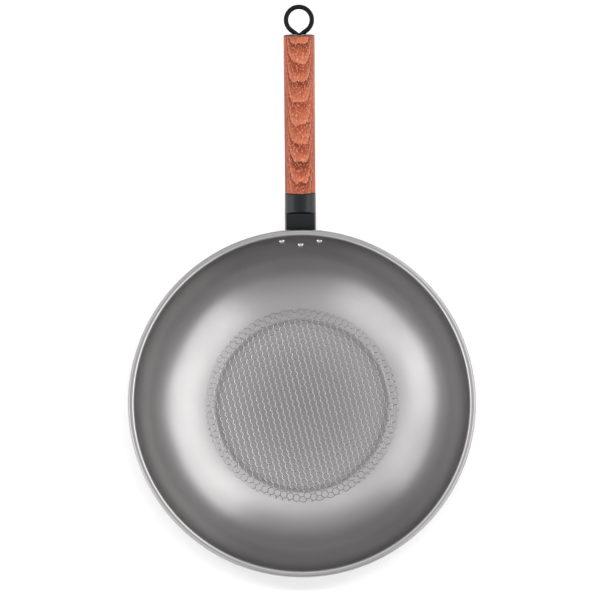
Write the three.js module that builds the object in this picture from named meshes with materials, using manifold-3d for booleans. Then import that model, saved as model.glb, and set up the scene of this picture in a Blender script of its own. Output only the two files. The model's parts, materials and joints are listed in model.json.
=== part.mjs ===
// A stainless steel wok: a pressed bowl, a painted bracket riveted to its wall, a turned wooden
// grip, and a tie rod whose outer end is bent into a hanging eye and whose inner end clamps the grip.
// Millimetres, +Z up. The origin is the centre of the flat base, on the surface that the wok stands
// on. The handle points along +Y and rises as it goes out.

import * as THREE from 'three';
import { mergeVertices } from 'three/addons/utils/BufferGeometryUtils.js';
import Module from 'manifold-3d';

const wasm = await Module();
wasm.setup();

const degrees = THREE.MathUtils.degToRad;

// Space left between pieces that touch on the real object
const FIT = 0.3;

// Bowl: one sheet with a flat base, a wall that is flatter below than above, and a rim rolled outwards
const SHEET = 1.5;
const RIM_RADIUS = 160;
const BASE_RADIUS = 80;
const BASE_FILLET = 8;
const LOWER_WALL_RADIUS = 155;
const WALL_FOOT_SLOPE = degrees(21.5);
const WALL_MIDDLE_SLOPE = degrees(37);
const WALL_TOP_SLOPE = degrees(76);
const CURL_RADIUS = 3;
const CURL_TURN = degrees(280);

// Handle: a straight axis that starts in the middle of the socket's mouth
const HANDLE_TILT = degrees(14);
const MOUTH_FROM_CENTRE = 195;
const MOUTH_BELOW_RIM = 9;

// Bracket: a round bar with a socket in its outer end, cut flat on top where it passes under the rim
const SOCKET_END_RADIUS = 14.35;
const WALL_END_RADIUS = 14.6;
const BAR_LENGTH = 66;
const SOCKET_RADIUS = 11.5;
const SOCKET_DEPTH = 7;
const WEB = 3.5;
const SHOULDER_FROM_MOUTH = 16.5;
const SHOULDER_RUN = 2.2;
const FLAT_HEIGHT = 6.2;
const UNDERCUT_FROM_MOUTH = 8;
const UNDERCUT_END_HEIGHT = -3;
const CHANNEL_WIDTH = 19;
const CHANNEL_CEILING = 2.7;

// Rivet plate: the bracket's foot, bent to the wall, with two ears and one lower lobe
const PLATE = 3;
const PLATE_FOOT_SLOPE = degrees(50);
const EAR_RADIUS = 6.6;
const EAR_BELOW_RIM = 13.9;
const LOBE_RADIUS = 13;
const LOBE_BELOW_RIM = 25.5;

// Rivets: an upper pair beside the neck and one lower down behind it
const RIVET_SIDE = 17.4;
const UPPER_RIVET_SLOPE = degrees(69.1);
const MIDDLE_RIVET_SLOPE = degrees(63.6);
const RIVET_HEAD_RADIUS = 3.4;
const RIVET_HEAD_HEIGHT = 2.3;
const RIVET_SHANK_RADIUS = 2;
const RIVET_TAIL_RADIUS = 3.6;
const RIVET_TAIL_HEIGHT = 1.6;

// Space under the middle of a rivet head: on the hollow wall, the edge of the head comes closest
const RIVET_SEAT = 0.6;

// Grip: a bored wooden rod, a little thicker at its outer end
const GRIP_LENGTH = 145.8;
const GRIP_INNER_RADIUS = 14.1;
const GRIP_OUTER_RADIUS = 14.4;
const GRIP_EDGE = 1.6;
const GRIP_BORE_RADIUS = 3;
const GRIP_CHAMFER = 0.4;

// Tie rod: a wire that runs through the grip, with a closed eye outside
const ROD_RADIUS = 2.25;
const ROD_PAST_NUT = 1.7;
const EYE_RADIUS = 11.85;
const EYE_FROM_GRIP = 13.6;
const LEGS_MEET_BELOW_GRIP_END = 1.2;
const SHANK_INTO_EYE = 0.6;

// Nut behind the web of the socket, and washer sunk in the end of the grip
const NUT_ACROSS_FLATS = 8;
const NUT_THICKNESS = 4;
const WASHER_RADIUS = 6;
const WASHER_THICKNESS = 0.7;

// Fineness of the round shapes
const BOWL_SEGMENTS = 64;
const LOWER_WALL_STEPS = 4;
const UPPER_WALL_STEPS = 6;
const PLATE_STEPS = 4;
const FILLET_STEPS = 2;
const CURL_STEPS = 8;
const BAR_SEGMENTS = 40;
const GRIP_SEGMENTS = 32;
const SMALL_SEGMENTS = 20;
const ROD_SIDES = 12;
const EYE_STEPS = 26;
const DOME_STEPS = 4;
const EDGE_STEPS = 3;
const OUTLINE_STEPS = 5;
const NUT_HOLE_STEPS = 8;

// Angle, in a profile, of the point straight below a centre
const BELOW = -Math.PI / 2;

// Length of the cutters that pass right through a piece, and how far the others stand out of it
const THROUGH = 60;
const PROUD = 5;

// Bowl profile: radius from the axis, then height. An arc of it has its centre above its points

// Point of an arc where it has the given slope
function slopePoint(centre, radius, slope) {
  return new THREE.Vector2(centre.x + radius * Math.sin(slope), centre.y - radius * Math.cos(slope));
}

// Centre of the arc that has the given slope at a point
function centreAbove(point, radius, slope) {
  return slopePoint(point, -radius, slope);
}

const filletCentre = new THREE.Vector2(BASE_RADIUS, SHEET + BASE_FILLET);
const wallFoot = slopePoint(filletCentre, BASE_FILLET, WALL_FOOT_SLOPE);
const lowerWallCentre = centreAbove(wallFoot, LOWER_WALL_RADIUS, WALL_FOOT_SLOPE);
const wallMiddle = slopePoint(lowerWallCentre, LOWER_WALL_RADIUS, WALL_MIDDLE_SLOPE);
const wallTopRadius = RIM_RADIUS - CURL_RADIUS * (1 + Math.sin(WALL_TOP_SLOPE));
const upperWallRadius =
  (wallTopRadius - wallMiddle.x) / (Math.sin(WALL_TOP_SLOPE) - Math.sin(WALL_MIDDLE_SLOPE));
const upperWallCentre = centreAbove(wallMiddle, upperWallRadius, WALL_MIDDLE_SLOPE);
const curlCentre = slopePoint(upperWallCentre, upperWallRadius + CURL_RADIUS, WALL_TOP_SLOPE);
const rimHeight = curlCentre.y + CURL_RADIUS;

// Points along a circle of a profile, both ends included
function arcPoints(centre, radius, from, to, steps) {
  return Array.from({ length: steps + 1 }, (_, step) => {
    const angle = THREE.MathUtils.lerp(from, to, step / steps);
    return new THREE.Vector2(centre.x + radius * Math.cos(angle), centre.y + radius * Math.sin(angle));
  });
}

// Points of the upper wall from a slope to its top, moved out from the face that holds the food
function upperWall(out, fromSlope, steps) {
  const angles = [BELOW + fromSlope, BELOW + WALL_TOP_SLOPE];
  return arcPoints(upperWallCentre, upperWallRadius + out, ...angles, steps);
}

// A profile turned about the vertical axis of the bowl
function turned(profile) {
  return new THREE.LatheGeometry(profile, BOWL_SEGMENTS).rotateX(Math.PI / 2);
}

// A closed geometry as a solid that can be joined and cut
function solid(geometry) {
  const bare = geometry.clone();
  bare.deleteAttribute('normal');
  bare.deleteAttribute('uv');
  const merged = mergeVertices(bare);
  const corners = merged.index.array;
  const triangles = [];
  for (let first = 0; first < corners.length; first += 3) {
    const [a, b, c] = corners.slice(first, first + 3);
    if (a !== b && b !== c && c !== a) {
      triangles.push(a, b, c);
    }
  }
  const vertProperties = new Float32Array(merged.attributes.position.array);
  const triVerts = new Uint32Array(triangles);
  return new wasm.Manifold(new wasm.Mesh({ numProp: 3, vertProperties, triVerts }));
}

// A joined or cut solid as a geometry again
function geometryOf(body) {
  const { vertProperties, triVerts } = body.getMesh();
  const geometry = new THREE.BufferGeometry();
  geometry.setAttribute('position', new THREE.BufferAttribute(vertProperties, 3));
  geometry.setIndex(new THREE.BufferAttribute(triVerts, 1));
  geometry.computeVertexNormals();
  return geometry;
}

function piece(name, geometry, colour, roughness, metalness) {
  const material = new THREE.MeshStandardMaterial({ color: colour, roughness, metalness });
  const mesh = new THREE.Mesh(geometry, material);
  mesh.name = name;
  return mesh;
}

// Handle frame: +Y runs out along the grip from the mouth of the socket
const handle = new THREE.Group();
handle.position.set(0, MOUTH_FROM_CENTRE, rimHeight - MOUTH_BELOW_RIM);
handle.rotation.x = HANDLE_TILT;
handle.updateMatrix();

// A cylinder along the handle between two distances from the mouth
function handleCylinder(fromRadius, toRadius, from, to, segments) {
  const cylinder = new THREE.CylinderGeometry(toRadius, fromRadius, to - from, segments);
  return cylinder.translate(0, (from + to) / 2, 0);
}

// A box across the handle, given by its width, its range along the handle and its range of heights
function handleBox(width, [from, to], [low, high]) {
  const middle = [0, (from + to) / 2, (low + high) / 2];
  return new THREE.BoxGeometry(width, to - from, high - low).translate(...middle);
}

// A side view of the handle, as points of distance from the mouth and height, cut right across it
function handleSideCut(points) {
  const shape = new THREE.Shape(points.map(([along, height]) => new THREE.Vector2(along, height)));
  const plate = new THREE.ExtrudeGeometry(shape, { depth: THROUGH, bevelEnabled: false });
  const turn = new THREE.Matrix4().makeBasis(
    new THREE.Vector3(0, 1, 0),
    new THREE.Vector3(0, 0, 1),
    new THREE.Vector3(1, 0, 0),
  );
  return plate.applyMatrix4(turn).translate(-THROUGH / 2, 0, 0);
}

// Rivets: place on the wall, with local +Y from the inside of the bowl to the outside
const rivetStack = SHEET + FIT + PLATE;
const rivetPlaces = {
  rivet_left: { side: -RIVET_SIDE, slope: UPPER_RIVET_SLOPE },
  rivet_right: { side: RIVET_SIDE, slope: UPPER_RIVET_SLOPE },
  rivet_middle: { side: 0, slope: MIDDLE_RIVET_SLOPE },
};

function placeRivet(object, { side, slope }) {
  const foot = slopePoint(upperWallCentre, upperWallRadius, slope);
  const turn = Math.asin(side / foot.x);
  const out = new THREE.Vector3(
    Math.sin(turn) * Math.sin(slope),
    Math.cos(turn) * Math.sin(slope),
    -Math.cos(slope),
  );
  object.position.set(side, foot.x * Math.cos(turn), foot.y);
  object.quaternion.setFromUnitVectors(new THREE.Vector3(0, 1, 0), out);
  object.updateMatrix();
  return object;
}

function rivetHoles() {
  const radius = RIVET_SHANK_RADIUS + FIT;
  return Object.values(rivetPlaces).map((place) => {
    const hole = new THREE.CylinderGeometry(radius, radius, 4 * rivetStack, SMALL_SEGMENTS);
    return solid(hole.applyMatrix4(placeRivet(new THREE.Object3D(), place).matrix));
  });
}

function cutAll(body, cutters) {
  return cutters.reduce((rest, cutter) => rest.subtract(cutter), body);
}

// Bowl: one face of the sheet, from the middle of the base to the free edge of the curl
function sheetFace(out) {
  const filletEnd = BELOW + WALL_FOOT_SLOPE;
  const lowerEnd = BELOW + WALL_MIDDLE_SLOPE;
  const curlStart = Math.PI / 2 + WALL_TOP_SLOPE;
  const lowerRadius = LOWER_WALL_RADIUS + out;
  return [
    new THREE.Vector2(0, SHEET - out),
    ...arcPoints(filletCentre, BASE_FILLET + out, BELOW, filletEnd, FILLET_STEPS),
    ...arcPoints(lowerWallCentre, lowerRadius, filletEnd, lowerEnd, LOWER_WALL_STEPS).slice(1),
    ...upperWall(out, WALL_MIDDLE_SLOPE, UPPER_WALL_STEPS).slice(1),
    ...arcPoints(curlCentre, CURL_RADIUS - out, curlStart, curlStart - CURL_TURN, CURL_STEPS).slice(1),
  ];
}

function wokBody() {
  const sheet = turned([...sheetFace(SHEET), ...sheetFace(0).reverse()]);
  return geometryOf(cutAll(solid(sheet), rivetHoles()));
}

// Everything inside the wall's surface at the given distance out, over the height of the rivet plate.
// Its facets lie along those of the wall
function wallFilling(out) {
  const wall = upperWall(out, PLATE_FOOT_SLOPE, PLATE_STEPS);
  const foot = new THREE.Vector2(0, wall[0].y);
  const top = new THREE.Vector2(0, wall[PLATE_STEPS].y);
  return solid(turned([foot, ...wall, top]));
}

// Outline of the rivet plate seen along the handle: a loop pulled tight round its three lobes
function plateOutline() {
  const earHeight = rimHeight - EAR_BELOW_RIM;
  const lobeHeight = rimHeight - LOBE_BELOW_RIM;
  const lobeFromEar = new THREE.Vector2(-RIVET_SIDE, lobeHeight - earHeight);
  const tangent = lobeFromEar.angle() + Math.acos((EAR_RADIUS - LOBE_RADIUS) / lobeFromEar.length());
  const rightSide = tangent - 2 * Math.PI;
  const outline = new THREE.Shape();
  outline.absarc(RIVET_SIDE, earHeight, EAR_RADIUS, rightSide, Math.PI / 2);
  outline.absarc(-RIVET_SIDE, earHeight, EAR_RADIUS, Math.PI / 2, Math.PI - rightSide);
  outline.absarc(0, lobeHeight, LOBE_RADIUS, Math.PI - rightSide, 2 * Math.PI + rightSide);
  return outline;
}

function rivetPlate() {
  const options = { depth: THROUGH, bevelEnabled: false, curveSegments: OUTLINE_STEPS };
  const block = new THREE.ExtrudeGeometry(plateOutline(), options);
  block.rotateX(Math.PI / 2).translate(0, RIM_RADIUS + FIT, 0);
  return solid(block).intersect(wallFilling(SHEET + FIT + PLATE));
}

// Bracket: distances along the handle are negative from the mouth of the socket towards the bowl
const webStart = -SOCKET_DEPTH;
const nutStart = webStart - WEB - FIT;
const nutEnd = nutStart - NUT_THICKNESS;
const channelStart = nutEnd - 2 * FIT;
const rodEnd = nutEnd - ROD_PAST_NUT;

function bracketBar() {
  const tall = SOCKET_END_RADIUS + PROUD;
  const past = -BAR_LENGTH - PROUD;
  const bar = handleCylinder(WALL_END_RADIUS, SOCKET_END_RADIUS, -BAR_LENGTH, 0, BAR_SEGMENTS);
  const flatTop = handleSideCut([
    [-SHOULDER_FROM_MOUTH, SOCKET_END_RADIUS],
    [-SHOULDER_FROM_MOUTH, tall],
    [past, tall],
    [past, FLAT_HEIGHT],
    [-SHOULDER_FROM_MOUTH - SHOULDER_RUN, FLAT_HEIGHT],
  ]);
  const undercut = handleSideCut([
    [-UNDERCUT_FROM_MOUTH, -tall],
    [-UNDERCUT_FROM_MOUTH, -SOCKET_END_RADIUS],
    [past, UNDERCUT_END_HEIGHT],
    [past, -tall],
  ]);
  const nutHeights = [-tall, NUT_ACROSS_FLATS / 2 + FIT];
  const nutChamber = handleBox(CHANNEL_WIDTH, [channelStart, webStart - WEB], nutHeights);
  const channel = handleBox(CHANNEL_WIDTH, [past, channelStart + FIT], [-tall, CHANNEL_CEILING]);
  const socket = handleCylinder(SOCKET_RADIUS, SOCKET_RADIUS, webStart, PROUD, BAR_SEGMENTS);
  const rodHoleRadius = ROD_RADIUS + 2 * FIT;
  const rodHole = handleCylinder(rodHoleRadius, rodHoleRadius, channelStart, 0, SMALL_SEGMENTS);
  return [bar, flatTop, undercut, nutChamber, channel, socket, rodHole];
}

function handleBracket() {
  const [bar, ...cuts] = bracketBar().map((geometry) => solid(geometry.applyMatrix4(handle.matrix)));
  const joined = cutAll(bar, cuts).add(rivetPlate());
  return geometryOf(cutAll(joined, [wallFilling(SHEET + FIT), ...rivetHoles()]));
}

// Rivet: domed head inside the bowl, shank through the wall and plate, upset tail outside
function domeProfile(radius, height, base) {
  const sphere = (radius ** 2 + height ** 2) / (2 * height);
  const centre = new THREE.Vector2(0, base - height + sphere);
  return arcPoints(centre, sphere, BELOW, BELOW + Math.asin(radius / sphere), DOME_STEPS);
}

function rivet() {
  const head = domeProfile(RIVET_HEAD_RADIUS, RIVET_HEAD_HEIGHT, -RIVET_SEAT);
  const tail = domeProfile(RIVET_TAIL_RADIUS, RIVET_TAIL_HEIGHT, 0).reverse();
  const tailBase = rivetStack + FIT;
  return new THREE.LatheGeometry(
    [
      ...head,
      new THREE.Vector2(RIVET_SHANK_RADIUS, -RIVET_SEAT),
      new THREE.Vector2(RIVET_SHANK_RADIUS, tailBase),
      ...tail.map(({ x, y }) => new THREE.Vector2(x, tailBase - y)),
    ],
    SMALL_SEGMENTS,
  );
}

// Grip: spigot in the socket, shoulder on the mouth, rounded outer end with a seat for the washer
const washerSeat = GRIP_LENGTH - WASHER_THICKNESS - FIT;

function woodGrip() {
  const edgeCentre = new THREE.Vector2(GRIP_OUTER_RADIUS - GRIP_EDGE, GRIP_LENGTH - GRIP_EDGE);
  const spigotRadius = SOCKET_RADIUS - FIT;
  const spigotEnd = webStart + FIT;
  const seatRadius = WASHER_RADIUS + FIT;
  const profile = [
    new THREE.Vector2(GRIP_BORE_RADIUS, spigotEnd),
    new THREE.Vector2(spigotRadius, spigotEnd),
    new THREE.Vector2(spigotRadius, FIT),
    new THREE.Vector2(GRIP_INNER_RADIUS - GRIP_CHAMFER, FIT),
    new THREE.Vector2(GRIP_INNER_RADIUS, FIT + GRIP_CHAMFER),
    ...arcPoints(edgeCentre, GRIP_EDGE, 0, Math.PI / 2, EDGE_STEPS),
    new THREE.Vector2(seatRadius, GRIP_LENGTH),
    new THREE.Vector2(seatRadius, washerSeat),
    new THREE.Vector2(GRIP_BORE_RADIUS, washerSeat),
  ];
  return new THREE.LatheGeometry([...profile, profile[0]], GRIP_SEGMENTS);
}

// Tie rod: a straight shank, and the wire of the eye from the shank round to its free end
function wireAlong(path, steps) {
  const wire = new THREE.CatmullRomCurve3(path.map(({ x, y }) => new THREE.Vector3(x, y, 0)));
  const section = new THREE.Shape().absarc(0, 0, ROD_RADIUS, 0, 2 * Math.PI);
  const options = { steps, extrudePath: wire, curveSegments: ROD_SIDES / 2 };
  return solid(new THREE.ExtrudeGeometry(section, options));
}

function tieRod() {
  const eyeCentre = GRIP_LENGTH + EYE_FROM_GRIP;
  const legsMeet = GRIP_LENGTH - LEGS_MEET_BELOW_GRIP_END;
  const lean = Math.asin(EYE_RADIUS / (eyeCentre - legsMeet));
  const legEnd = new THREE.Vector2(-EYE_RADIUS * Math.cos(lean), eyeCentre - EYE_RADIUS * Math.sin(lean));
  const loop = new THREE.Path().moveTo(0, legsMeet).lineTo(-legEnd.x, legEnd.y);
  loop.absarc(0, eyeCentre, EYE_RADIUS, -lean, Math.PI + lean);
  const freeLeg = [legEnd, new THREE.Vector2(0, legsMeet)];
  const bearing = GRIP_LENGTH + FIT;
  const belowEye = solid(handleBox(THROUGH, [0, bearing], [-THROUGH, THROUGH]));
  const wire = wireAlong(loop.getSpacedPoints(EYE_STEPS), EYE_STEPS).add(wireAlong(freeLeg, 1));
  const eye = wire.subtract(belowEye);
  const shankEnd = bearing + SHANK_INTO_EYE;
  const shank = handleCylinder(ROD_RADIUS, ROD_RADIUS, rodEnd, shankEnd, SMALL_SEGMENTS);
  return geometryOf(eye.add(solid(shank)));
}

function tieRodNut() {
  const cornerRadius = NUT_ACROSS_FLATS / Math.sqrt(3);
  const corners = Array.from({ length: 6 }, (_, corner) => {
    const angle = (corner * Math.PI) / 3;
    return new THREE.Vector2(cornerRadius * Math.cos(angle), cornerRadius * Math.sin(angle));
  });
  const outline = new THREE.Shape(corners);
  outline.holes.push(new THREE.Path().absarc(0, 0, ROD_RADIUS + FIT, 0, 2 * Math.PI));
  const options = { depth: NUT_THICKNESS, bevelEnabled: false, curveSegments: NUT_HOLE_STEPS };
  const nut = new THREE.ExtrudeGeometry(outline, options);
  return nut.rotateX(Math.PI / 2).translate(0, nutStart, 0);
}

function eyeWasher() {
  const seat = washerSeat + FIT / 2;
  const hole = ROD_RADIUS + FIT;
  const profile = [
    new THREE.Vector2(hole, seat),
    new THREE.Vector2(WASHER_RADIUS, seat),
    new THREE.Vector2(WASHER_RADIUS, seat + WASHER_THICKNESS),
    new THREE.Vector2(hole, seat + WASHER_THICKNESS),
  ];
  return new THREE.LatheGeometry([...profile, profile[0]], GRIP_SEGMENTS);
}

// Assembly
const wok = new THREE.Group();
wok.add(piece('wok_body', wokBody(), 0x9f9e9c, 0.36, 1));
wok.add(piece('handle_bracket', handleBracket(), 0x232426, 0.5, 0.2));
Object.entries(rivetPlaces).forEach(([name, place]) => {
  wok.add(placeRivet(piece(name, rivet(), 0xd4d3d1, 0.2, 1), place));
});
handle.add(piece('wood_grip', woodGrip(), 0xb8623f, 0.45, 0));
handle.add(piece('tie_rod', tieRod(), 0x161617, 0.4, 0.3));
handle.add(piece('tie_rod_nut', tieRodNut(), 0xb4b3ae, 0.35, 1));
handle.add(piece('eye_washer', eyeWasher(), 0xc4c3bf, 0.3, 1));
wok.add(handle);

export default wok;
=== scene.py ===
# %% [markdown]
# # A stainless steel wok
#
# A CAD model already fixes every size, place and joint of this wok. This lesson gives each piece its
# fine shape and its finish in Blender, around that model. Lengths are metres, +Z is up, the origin is
# the middle of the flat base, and the handle points along +Y.

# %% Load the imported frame
import json
import math

import bmesh
import bpy
from mathutils import Matrix, Vector


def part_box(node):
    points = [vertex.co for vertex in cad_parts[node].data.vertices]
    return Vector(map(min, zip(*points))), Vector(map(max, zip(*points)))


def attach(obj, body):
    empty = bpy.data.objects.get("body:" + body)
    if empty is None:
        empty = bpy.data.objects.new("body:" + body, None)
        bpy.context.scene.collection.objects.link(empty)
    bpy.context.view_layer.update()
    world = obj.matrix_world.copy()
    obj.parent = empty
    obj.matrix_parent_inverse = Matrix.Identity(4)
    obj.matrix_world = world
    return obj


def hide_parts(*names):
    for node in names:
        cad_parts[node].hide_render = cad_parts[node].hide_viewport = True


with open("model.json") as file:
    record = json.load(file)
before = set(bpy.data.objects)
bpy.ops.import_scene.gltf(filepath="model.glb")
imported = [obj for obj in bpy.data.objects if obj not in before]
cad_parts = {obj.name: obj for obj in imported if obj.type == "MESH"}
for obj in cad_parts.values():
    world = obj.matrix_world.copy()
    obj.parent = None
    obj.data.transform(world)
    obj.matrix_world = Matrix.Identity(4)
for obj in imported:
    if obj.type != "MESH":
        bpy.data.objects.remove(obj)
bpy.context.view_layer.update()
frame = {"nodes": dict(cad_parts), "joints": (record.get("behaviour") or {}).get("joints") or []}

# %% [markdown]
# ## Where things are
#
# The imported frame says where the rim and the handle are. The rim comes from the bowl's own box, and
# the line of the handle is the axis of the joint about which the hanging eye turns. The handle frame
# has its origin in the mouth of the socket, +Y out along the grip and +Z up from it.

# %% Rim and handle frame
MM = 0.001
rim_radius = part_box("wok_body")[1].x
rim_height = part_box("wok_body")[1].z
eye_turn = next(joint for joint in frame["joints"] if joint["name"] == "eye_turn")
mouth = Vector(eye_turn["pos_m"])
along = Vector(eye_turn["axis"]).normalized()
across = Vector((1, 0, 0))
handle_frame = Matrix((across, along, across.cross(along))).transposed().to_4x4()
handle_frame.translation = mouth
handle_tilt = math.asin(along.z)
print(f"rim radius {rim_radius:.4f}, height {rim_height:.4f}")
print(f"handle tilt {math.degrees(handle_tilt):.1f} degrees")

# %% [markdown]
# ## The camera
#
# The photograph looks almost straight down from far away. The rim is 348 pixels wide in a 600 pixel
# frame, which with the distance gives the lens. The line from the camera to the middle of the rim
# leans a little, and the middle of the rim lies below the middle of the picture, so the camera tips
# up by that angle too. A small roll makes up for the handle, which leans left in the picture.

# %% Camera
IMAGE_PIXELS = 600
RIM_PIXELS = 348.2
RIM_MIDDLE_PIXEL = (301.1, 402.3)
CAMERA_DISTANCE = 2.2
CAMERA_LEAN = math.radians(2.2)
CAMERA_ROLL = math.radians(0.45)

focal_pixels = CAMERA_DISTANCE * RIM_PIXELS / (2 * rim_radius)
rim_middle = Vector((0, 0, rim_height))
to_camera = Vector((0, -math.sin(CAMERA_LEAN), math.cos(CAMERA_LEAN)))
tip_up = math.atan((RIM_MIDDLE_PIXEL[1] - IMAGE_PIXELS / 2) / focal_pixels)
swing = math.atan((RIM_MIDDLE_PIXEL[0] - IMAGE_PIXELS / 2) / focal_pixels)

camera = bpy.data.objects.new("camera", bpy.data.cameras.new("camera"))
bpy.context.scene.collection.objects.link(camera)
camera.location = rim_middle + CAMERA_DISTANCE * to_camera
aim = Matrix.Rotation(CAMERA_LEAN + tip_up, 4, "X") @ Matrix.Rotation(swing, 4, "Y")
camera.rotation_euler = (aim @ Matrix.Rotation(-CAMERA_ROLL, 4, "Z")).to_euler()
camera.data.angle = 2 * math.atan(IMAGE_PIXELS / 2 / focal_pixels)
bpy.context.scene.camera = camera
bpy.context.scene.view_settings.view_transform = "Standard"
print(f"focal length {focal_pixels:.0f} pixels, angle {math.degrees(camera.data.angle):.2f} degrees")

# %% [markdown]
# ## Helpers for node trees
#
# Materials and Geometry Nodes are both trees of nodes. One helper adds a node, sets its options, and
# then gives each input either a value or a link from another node's output. The others are short
# names for the nodes that most trees use.

# %% Node helpers


def add_node(tree, kind, inputs=None, **options):
    """A new node of a tree. Inputs are named or numbered, and hold a value or an output to link from."""
    node = tree.nodes.new(kind)
    for option, value in options.items():
        setattr(node, option, value)
    for key, value in (inputs or {}).items():
        if isinstance(value, bpy.types.NodeSocket):
            tree.links.new(value, node.inputs[key])
        else:
            node.inputs[key].default_value = value
    return node


def output_of(tree, kind, inputs=None, **options):
    """The first output of a new node."""
    return add_node(tree, kind, inputs, **options).outputs[0]


def maths(tree, operation, *values):
    """The output of a Math node."""
    return output_of(tree, "ShaderNodeMath", dict(enumerate(values)), operation=operation)


def map_range(tree, value, old, new):
    """A value moved from an old range to a new one, and held at its ends."""
    return output_of(tree, "ShaderNodeMapRange", dict(enumerate((value, *old, *new))))


def combine(tree, *parts):
    """A vector from its X, Y and Z. Those left out are 0."""
    return output_of(tree, "ShaderNodeCombineXYZ", dict(enumerate(parts)))


def split(tree, vector):
    """The X, Y and Z of a vector."""
    return add_node(tree, "ShaderNodeSeparateXYZ", {0: vector}).outputs


def length(tree, vector):
    """How long a vector is."""
    return add_node(tree, "ShaderNodeVectorMath", {0: vector}, operation="LENGTH").outputs["Value"]


def colour_ramp(tree, value, stops):
    """The colour at a value between 0 and 1, from a list of stops."""
    node = add_node(tree, "ShaderNodeValToRGB", {"Fac": value})
    elements = node.color_ramp.elements
    while len(elements) < len(stops):
        elements.new(0.5)
    for element, (position, colour) in zip(elements, stops):
        element.position = position
        element.color = (*colour, 1)
    return node.outputs["Color"]


print("node helpers ready")

# %% [markdown]
# ## The studio
#
# The wok stands on a white floor that melts into a white background. The floor is an ordinary white
# surface for the light, so it keeps the shadow, and it glows a little for what looks at it directly
# or in a mirror, so it reads as white. It glows more further out, where less light from the lamps
# arrives. The sky is a middle grey overhead, which the flat base mirrors, brighter halfway down and
# dark below that, with a white band at the horizon like the far end of a white floor.

# %% Floor and sky
FLOOR_SIZE = 40
FLOOR_WHITE = 0.84
FLOOR_GLOW = (0.16, 0.46)
FLOOR_GLOW_REACH = (0.4, 1.6)
SKY_BY_HEIGHT = (
    (0.00, 1.00),
    (0.08, 1.00),
    (0.15, 0.30),
    (0.30, 0.36),
    (0.46, 0.62),
    (0.62, 0.88),
    (0.78, 0.70),
    (1.00, 0.58),
)


def direct_or_mirrored(tree):
    """1 for rays from the camera, from a glossy surface or through glass, else 0."""
    path = add_node(tree, "ShaderNodeLightPath").outputs
    seen = maths(tree, "MAXIMUM", path["Is Camera Ray"], path["Is Glossy Ray"])
    return maths(tree, "MAXIMUM", seen, path["Is Transmission Ray"])


def floor_material():
    """White for the light, with a glow for what looks at it."""
    material = bpy.data.materials.new("studio_floor")
    material.use_nodes = True
    tree = material.node_tree
    tree.nodes.clear()
    place = add_node(tree, "ShaderNodeTexCoord").outputs["Object"]
    glow = map_range(tree, length(tree, place), FLOOR_GLOW_REACH, FLOOR_GLOW)
    seen_glow = maths(tree, "MULTIPLY", direct_or_mirrored(tree), glow)
    colour = (FLOOR_WHITE, FLOOR_WHITE, FLOOR_WHITE, 1)
    white = output_of(tree, "ShaderNodeBsdfDiffuse", {"Color": colour})
    shine = output_of(tree, "ShaderNodeEmission", {"Strength": seen_glow})
    both = output_of(tree, "ShaderNodeAddShader", {0: white, 1: shine})
    add_node(tree, "ShaderNodeOutputMaterial", {"Surface": both})
    return material


def build_floor():
    """A large square under the wok, which isn't part of it."""
    half = FLOOR_SIZE / 2
    corners = [(-half, -half, 0), (half, -half, 0), (half, half, 0), (-half, half, 0)]
    mesh = bpy.data.meshes.new("floor")
    mesh.from_pydata(corners, [], [(0, 1, 2, 3)])
    mesh.materials.append(floor_material())
    floor = bpy.data.objects.new("floor", mesh)
    bpy.context.scene.collection.objects.link(floor)
    return floor


def build_sky():
    """A grey that changes only with the height above the horizon."""
    world = bpy.data.worlds.new("studio_sky")
    bpy.context.scene.world = world
    world.use_nodes = True
    tree = world.node_tree
    tree.nodes.clear()
    direction = add_node(tree, "ShaderNodeTexCoord").outputs["Generated"]
    greys = [(position, (grey, grey, grey)) for position, grey in SKY_BY_HEIGHT]
    colour = colour_ramp(tree, split(tree, direction)["Z"], greys)
    shine = output_of(tree, "ShaderNodeBackground", {"Color": colour})
    add_node(tree, "ShaderNodeOutputWorld", {"Surface": shine})
    return world


print("studio:", build_floor().name, build_sky().name)

# %% [markdown]
# ## The lamps
#
# Six soft panels stand low around the wok, three on each side: they make the bright crescents on the
# wall. A narrow box beyond the handle brightens the foot of the near wall. A strip lamp overhead throws
# the thin shadow in front of the bowl, and is kept out of mirrors.

# %% Soft boxes
PANEL = {"distance": 1.4, "size": (0.88, 0.74)}
PANELS = {
    "left_front": {"azimuth": 230, "from_vertical": 63, "watts": 2.1},
    "left": {"azimuth": 192, "from_vertical": 72, "watts": 3.75},
    "left_back": {"azimuth": 154, "from_vertical": 66, "watts": 2.2},
    "right_front": {"azimuth": 324, "from_vertical": 62, "watts": 2.8},
    "right": {"azimuth": 2, "from_vertical": 67, "watts": 3.8},
    "right_back": {"azimuth": 40, "from_vertical": 67, "watts": 3.3},
}
BEYOND_BOX = {"azimuth": 90, "from_vertical": 50, "distance": 1.4, "size": (1.9, 0.26), "watts": 1.5}
SHADOW_LAMP = {"azimuth": 90, "from_vertical": 8, "distance": 2.0, "size": (1.4, 0.15), "watts": 18.0}


def soft_box(name, azimuth, from_vertical, distance, size, watts):
    """A rectangular lamp that faces the middle of the rim, of this size across and up."""
    light = bpy.data.lights.new(f"soft_box_{name}", "AREA")
    light.shape = "RECTANGLE"
    light.size, light.size_y = size
    light.energy = watts
    lamp = bpy.data.objects.new(light.name, light)
    bpy.context.scene.collection.objects.link(lamp)
    turn, lean = math.radians(azimuth), math.radians(from_vertical)
    flat = math.sin(lean)
    towards = Vector((math.cos(turn) * flat, math.sin(turn) * flat, math.cos(lean)))
    lamp.location = rim_middle + distance * towards
    lamp.rotation_euler = (-towards).to_track_quat("-Z", "Y").to_euler()
    lamp.visible_camera = False
    return lamp


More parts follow.
